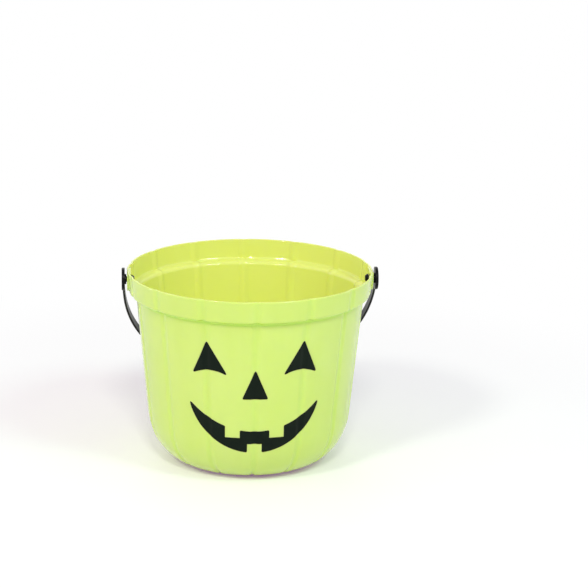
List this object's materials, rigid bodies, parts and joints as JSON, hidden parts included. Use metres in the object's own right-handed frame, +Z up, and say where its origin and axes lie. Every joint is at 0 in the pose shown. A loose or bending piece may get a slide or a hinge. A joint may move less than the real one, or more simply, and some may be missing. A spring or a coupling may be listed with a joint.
{
  "type": "pumpkin candy pail",
  "caption": "Thin moulded pumpkin-lobed treat pail with a flared rim band, a recessed painted face and a strap bail that swings on snap pins in two ears.",
  "frame": {"origin": "centre of the base, on the table", "axes": "+Z up, -Y the front with the face, +X and -X the two ears"},
  "size_m": [0.1982, 0.1898, 0.1526],
  "materials": {
    "lime_plastic": "soft gloss, slightly translucent moulded polypropylene",
    "black_plastic": "satin moulded polypropylene",
    "face_paint": "satin pad-printed paint"
  },
  "bodies": {
    "tub": {"tub": "lime_plastic", "left_eye_paint": "face_paint", "right_eye_paint": "face_paint", "nose_paint": "face_paint", "mouth_paint": "face_paint"},
    "bail": {"bail": "black_plastic"}
  },
  "joints": [
    {"name": "bail_swing", "type": "hinge", "parent": "tub", "child": "bail", "pos_m": [0, 0, 0.1438], "axis": [1, 0, 0], "range_deg": [0, 277.7]}
  ]
}
